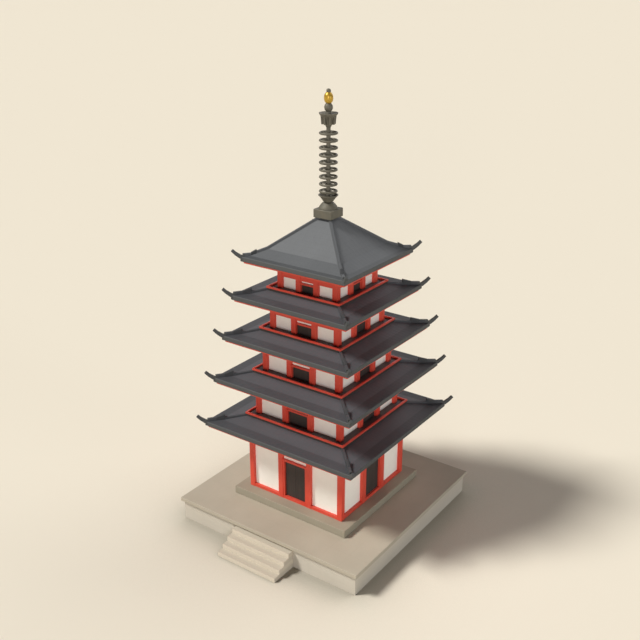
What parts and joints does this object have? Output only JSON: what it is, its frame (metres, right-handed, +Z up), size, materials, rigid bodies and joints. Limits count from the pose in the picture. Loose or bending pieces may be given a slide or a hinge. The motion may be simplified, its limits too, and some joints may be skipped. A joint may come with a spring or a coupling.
{
  "type": "five-storey pagoda",
  "caption": "Square timber pagoda with tiered tiled roofs and a tall ringed spire, red frame and white walls, on a stone terrace with front steps and swinging doors.",
  "frame": {"origin": "on the tower's axis at ground level, at the middle of the terrace's underside", "axes": "+Z up along the tower's axis, -Y towards the steps and the front doors, +X to the right seen from the front"},
  "size_m": [12.212, 13.7033, 24.365],
  "materials": {
    "light_stone": "dressed pale stone, matt",
    "taupe_stone": "smooth taupe stone paving, matt",
    "vermilion_paint": "timber painted vermilion, satin",
    "white_plaster": "lime plaster, matt warm white",
    "dark_wood": "dark stained boards, matt",
    "roof_tiles": "grey unglazed roof tiles, matt",
    "bronze": "weathered bronze",
    "gold": "gilded bronze, polished"
  },
  "bodies": {
    "tower": {"back_door_panel": "white_plaster", "back_doorway": "vermilion_paint", "back_left_wall": "white_plaster", "back_right_wall": "white_plaster", "eaves_1": "vermilion_paint", "eaves_2": "vermilion_paint", "eaves_3": "vermilion_paint", "eaves_4": "vermilion_paint", "eaves_5": "vermilion_paint", "finial_base": "bronze", "finial_bowl": "bronze", "finial_dome": "bronze", "finial_jewel": "gold", "finial_mast_and_rings": "bronze", "finial_sphere": "bronze", "finial_tip": "bronze", "finial_vanes": "bronze", "front_door_panel": "white_plaster", "front_doorway": "vermilion_paint", "front_left_wall": "white_plaster", "front_right_wall": "white_plaster", "front_steps": "light_stone", "ground_frame": "vermilion_paint", "ground_sill": "vermilion_paint", "left_door_panel": "white_plaster", "left_doorway": "vermilion_paint", "plinth": "taupe_stone", "right_door_panel": "white_plaster", "right_doorway": "vermilion_paint", "roof_1": "roof_tiles", "roof_2": "roof_tiles", "roof_3": "roof_tiles", "roof_4": "roof_tiles", "roof_5": "roof_tiles", "storey_2_floor_and_doors": "dark_wood", "storey_2_frame": "vermilion_paint", "storey_2_rail": "vermilion_paint", "storey_2_walls": "white_plaster", "storey_3_floor_and_doors": "dark_wood", "storey_3_frame": "vermilion_paint", "storey_3_rail": "vermilion_paint", "storey_3_walls": "white_plaster", "storey_4_floor_and_doors": "dark_wood", "storey_4_frame": "vermilion_paint", "storey_4_rail": "vermilion_paint", "storey_4_walls": "white_plaster", "storey_5_floor_and_doors": "dark_wood", "storey_5_frame": "vermilion_paint", "storey_5_rail": "vermilion_paint", "storey_5_walls": "white_plaster", "terrace_coping": "taupe_stone", "terrace_wall": "light_stone"},
    "back_door_left": {"back_door_left": "dark_wood"},
    "back_door_right": {"back_door_right": "dark_wood"},
    "front_door_left": {"front_door_left": "dark_wood"},
    "front_door_right": {"front_door_right": "dark_wood"},
    "left_door_left": {"left_door_left": "dark_wood"},
    "left_door_right": {"left_door_right": "dark_wood"},
    "right_door_left": {"right_door_left": "dark_wood"},
    "right_door_right": {"right_door_right": "dark_wood"}
  },
  "joints": [
    {"name": "front_left_leaf_swing", "type": "hinge", "parent": "tower", "child": "front_door_left", "pos_m": [-0.679, -3.04, 2.01], "axis": [0, 0, -1], "range_deg": [0, 90]},
    {"name": "front_right_leaf_swing", "type": "hinge", "parent": "tower", "child": "front_door_right", "pos_m": [0.679, -3.04, 2.01], "axis": [0, 0, 1], "range_deg": [0, 90]},
    {"name": "right_left_leaf_swing", "type": "hinge", "parent": "tower", "child": "right_door_left", "pos_m": [3.04, -0.679, 2.01], "axis": [0, 0, -1], "range_deg": [0, 90]},
    {"name": "right_right_leaf_swing", "type": "hinge", "parent": "tower", "child": "right_door_right", "pos_m": [3.04, 0.679, 2.01], "axis": [0, 0, 1], "range_deg": [0, 90]},
    {"name": "back_left_leaf_swing", "type": "hinge", "parent": "tower", "child": "back_door_left", "pos_m": [0.679, 3.04, 2.01], "axis": [0, 0, -1], "range_deg": [0, 90]},
    {"name": "back_right_leaf_swing", "type": "hinge", "parent": "tower", "child": "back_door_right", "pos_m": [-0.679, 3.04, 2.01], "axis": [0, 0, 1], "range_deg": [0, 90]},
    {"name": "left_left_leaf_swing", "type": "hinge", "parent": "tower", "child": "left_door_left", "pos_m": [-3.04, 0.679, 2.01], "axis": [0, 0, -1], "range_deg": [0, 90]},
    {"name": "left_right_leaf_swing", "type": "hinge", "parent": "tower", "child": "left_door_right", "pos_m": [-3.04, -0.679, 2.01], "axis": [0, 0, 1], "range_deg": [0, 90]}
  ]
}
